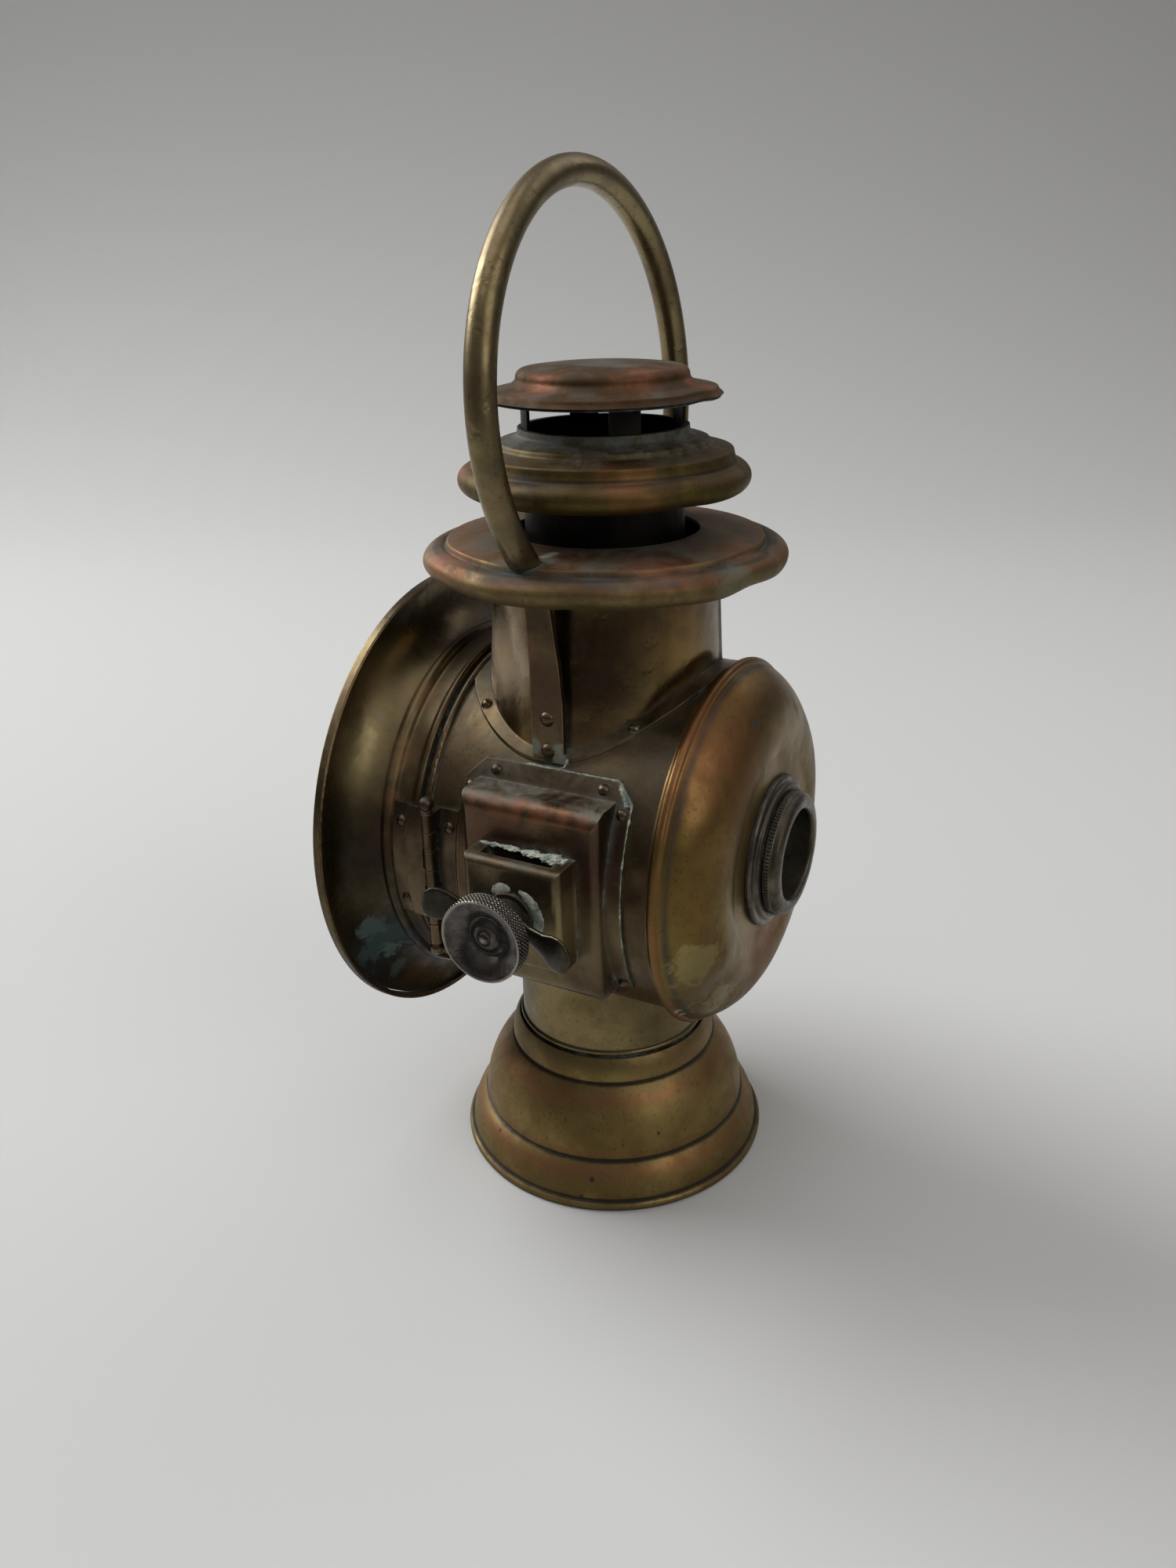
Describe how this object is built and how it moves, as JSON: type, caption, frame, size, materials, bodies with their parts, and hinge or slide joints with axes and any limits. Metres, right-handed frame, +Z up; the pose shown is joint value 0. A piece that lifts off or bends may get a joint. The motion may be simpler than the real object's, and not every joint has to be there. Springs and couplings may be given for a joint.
{
  "type": "car side lamp",
  "caption": "Oil-burning car side lamp: drum body on a flared foot, hinged flared door, domed rear with a small light, vented chimney, hoop handle, bracket socket with clamp screw.",
  "frame": {"origin": "under the middle of the foot, on the surface that the lamp stands on", "axes": "+Z up, -Y towards the front door, +X towards the bracket socket and door hinge"},
  "size_m": [0.1544, 0.1203, 0.2989],
  "materials": {
    "aged_brass": "aged, olive brown, unpolished",
    "copper_tinted_brass": "aged, rubbed to a copper tint",
    "dark_brass": "dark patina",
    "sooty_sheet": "soot-blackened, matt",
    "worn_nickel": "worn grey nickel plate",
    "silvered": "silvered, slightly tarnished",
    "clear_glass": "clear, slightly dusty",
    "cotton": "woven cotton, singed at the tip",
    "felt": "felt"
  },
  "bodies": {
    "lamp": {"lower_collar": "aged_brass", "body_drum": "aged_brass", "rear_dome": "copper_tinted_brass", "reflector": "silvered", "light_socket": "sooty_sheet", "neck_tube": "aged_brass", "neck_saddle": "aged_brass", "saddle_rivets": "dark_brass", "crown": "copper_tinted_brass", "strap_near": "aged_brass", "strap_far": "aged_brass", "strap_rivets": "dark_brass", "chimney_tube": "sooty_sheet", "chimney_brackets": "sooty_sheet", "deflector_ring": "copper_tinted_brass", "chimney_cap": "copper_tinted_brass", "carry_handle": "aged_brass", "bracket_box": "aged_brass", "box_rivets": "dark_brass", "bracket_socket": "aged_brass", "clamp_washer": "dark_brass", "hinge_leaf_body": "aged_brass", "hinge_pin": "aged_brass", "hinge_screws_body": "dark_brass", "spring_catch": "aged_brass", "catch_rivets": "dark_brass"},
    "front_door": {"door_hood": "aged_brass", "hood_hoop": "aged_brass", "glass_seat": "aged_brass", "glass_gasket": "felt", "front_glass": "clear_glass", "glass_retainer": "worn_nickel", "hinge_leaf_door": "aged_brass", "hinge_screws_door": "dark_brass", "pull_stud": "aged_brass"},
    "clamp_screw": {"clamp_screw": "worn_nickel"},
    "thumb_knob": {"thumb_knob": "worn_nickel"},
    "wing_nut": {"wing_nut": "worn_nickel"},
    "lens_cell": {"lens_cell": "worn_nickel", "rear_glass": "clear_glass"},
    "knurled_ring": {"knurled_ring": "worn_nickel"},
    "font": {"foot_bell": "aged_brass", "foot_plate": "dark_brass", "oil_font": "dark_brass", "filler_cap": "aged_brass", "burner": "aged_brass", "wick_tube": "aged_brass"},
    "wick": {"wick": "cotton"},
    "wick_winder": {"winder_shaft": "worn_nickel", "winder_knob": "worn_nickel"}
  },
  "joints": [
    {"name": "door_swing", "type": "hinge", "parent": "lamp", "child": "front_door", "pos_m": [0.05493, -0.0296, 0.111], "axis": [0, 0, 1], "range_deg": [0, 95]},
    {"name": "screw_travel", "type": "slide", "parent": "lamp", "child": "clamp_screw", "axis": [1, 0, 0], "range_m": [-0.002, 0.001]},
    {"name": "knob_turn", "type": "hinge", "parent": "clamp_screw", "child": "thumb_knob", "pos_m": [0.08, 0.0043, 0.113], "axis": [1, 0, 0], "range_deg": [-722, 362]},
    {"name": "nut_turn", "type": "hinge", "parent": "lamp", "child": "wing_nut", "pos_m": [0.07, 0.0043, 0.113], "axis": [1, 0, 0], "range_deg": [0, 120]},
    {"name": "cell_travel", "type": "slide", "parent": "lamp", "child": "lens_cell", "axis": [0, 1, 0], "range_m": [0, 0.003]},
    {"name": "ring_turn", "type": "hinge", "parent": "lens_cell", "child": "knurled_ring", "pos_m": [0, 0.0592, 0.113], "axis": [0, 1, 0], "range_deg": [-2, 1082]},
    {"name": "font_drop", "type": "slide", "parent": "lamp", "child": "font", "axis": [0, 0, 1], "range_m": [-0.075, 0]},
    {"name": "wick_lift", "type": "slide", "parent": "font", "child": "wick", "axis": [0, 0, 1], "range_m": [-0.00335, 0.00502]},
    {"name": "winder_turn", "type": "hinge", "parent": "font", "child": "wick_winder", "pos_m": [0.00425, 0, 0.0653], "axis": [0, 1, 0], "range_deg": [-60.5, 90.5]}
  ],
  "couplings": [
    {"joint": "knob_turn", "follows": "screw_travel", "rad_per_m": 6283.2},
    {"joint": "ring_turn", "follows": "cell_travel", "rad_per_m": 6283.2},
    {"joint": "winder_turn", "follows": "wick_lift", "rad_per_m": 312.5}
  ]
}
